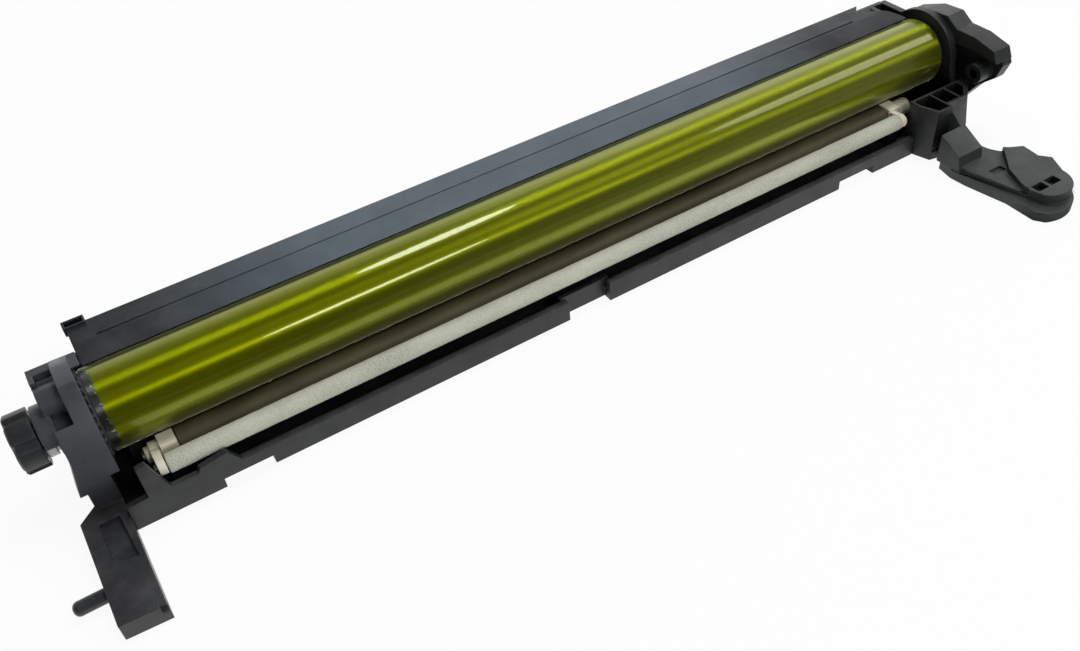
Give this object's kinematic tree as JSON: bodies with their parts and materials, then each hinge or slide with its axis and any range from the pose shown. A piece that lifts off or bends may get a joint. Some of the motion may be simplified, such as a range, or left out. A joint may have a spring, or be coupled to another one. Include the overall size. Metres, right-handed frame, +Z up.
{
  "type": "printer drum unit",
  "caption": "Wide-format printer drum unit: olive coated drum in a dark frame with charge and foam cleaning rollers, rear cover, lobed drive coupling, locating arm and handle arm.",
  "frame": {"origin": "on the drum's axis at the mouth of the drive coupling's socket", "axes": "+X along the drum from the drive end to the handle end, +Y to the rear cover, +Z up from the flat bottom"},
  "size_m": [0.428, 0.1285, 0.0489],
  "materials": {
    "frame_plastic": "moulded, fine texture",
    "cap_plastic": "moulded, satin",
    "cover_plastic": "moulded, satin blue-grey",
    "drum_coating": "glossy olive coating on aluminium",
    "flange_plastic": "moulded",
    "steel": "ground",
    "charge_rubber": "satin conductive rubber",
    "foam": "fine open foam",
    "ivory_plastic": "moulded, satin",
    "spring_steel": "drawn wire",
    "urethane": "translucent amber",
    "film": "thin clear film",
    "felt": "felt",
    "copper_alloy": "spring strip",
    "white_plastic": "moulded"
  },
  "bodies": {
    "frame": {"main_frame": "frame_plastic", "rear_cover": "cover_plastic", "left_end_cap": "cap_plastic", "right_end_cap": "cap_plastic", "drive_bearing": "white_plastic", "pivot_pin": "steel", "blade_bracket": "steel", "cleaning_blade": "urethane", "blade_screws": "steel", "cap_screws": "steel", "recovery_film": "film", "left_end_seal": "felt", "right_end_seal": "felt", "bias_contact": "copper_alloy", "left_pressure_spring": "spring_steel", "right_pressure_spring": "spring_steel"},
    "drum": {"drum_tube": "drum_coating", "drive_flange": "flange_plastic", "drive_coupling": "flange_plastic", "idler_flange": "flange_plastic", "earth_plate": "copper_alloy"},
    "roller_holders": {"left_roller_holder": "ivory_plastic", "right_roller_holder": "ivory_plastic"},
    "charging": {"charge_roller": "charge_rubber", "charge_shaft": "steel"},
    "cleaning": {"cleaning_roller": "foam", "cleaning_shaft": "steel"},
    "auger": {"waste_auger": "white_plastic", "auger_gear": "white_plastic"}
  },
  "joints": [
    {"name": "drum_spin", "type": "hinge", "parent": "frame", "child": "drum", "pos_m": [0.2, 0, 0], "axis": [1, 0, 0], "continuous": true},
    {"name": "holder_slide", "type": "slide", "parent": "frame", "child": "roller_holders", "axis": [0, 0, -1], "range_m": [0, 0.0008], "stiffness_N_per_m": 1200, "springref_m": -0.005, "deforming": ["left_pressure_spring", "right_pressure_spring"]},
    {"name": "charge_spin", "type": "hinge", "parent": "roller_holders", "child": "charging", "pos_m": [0.2, -0.01405, -0.01507], "axis": [1, 0, 0], "continuous": true},
    {"name": "cleaner_spin", "type": "hinge", "parent": "roller_holders", "child": "cleaning", "pos_m": [0.2, -0.02315, -0.01375], "axis": [1, 0, 0], "continuous": true},
    {"name": "auger_spin", "type": "hinge", "parent": "frame", "child": "auger", "pos_m": [0.2, 0.01699, -0.01234], "axis": [1, 0, 0], "continuous": true}
  ],
  "couplings": [
    {"joint": "charge_spin", "follows": "drum_spin", "ratio": -2.8302},
    {"joint": "cleaner_spin", "follows": "drum_spin", "ratio": 4.1667},
    {"joint": "auger_spin", "follows": "drum_spin", "ratio": -2.5}
  ]
}
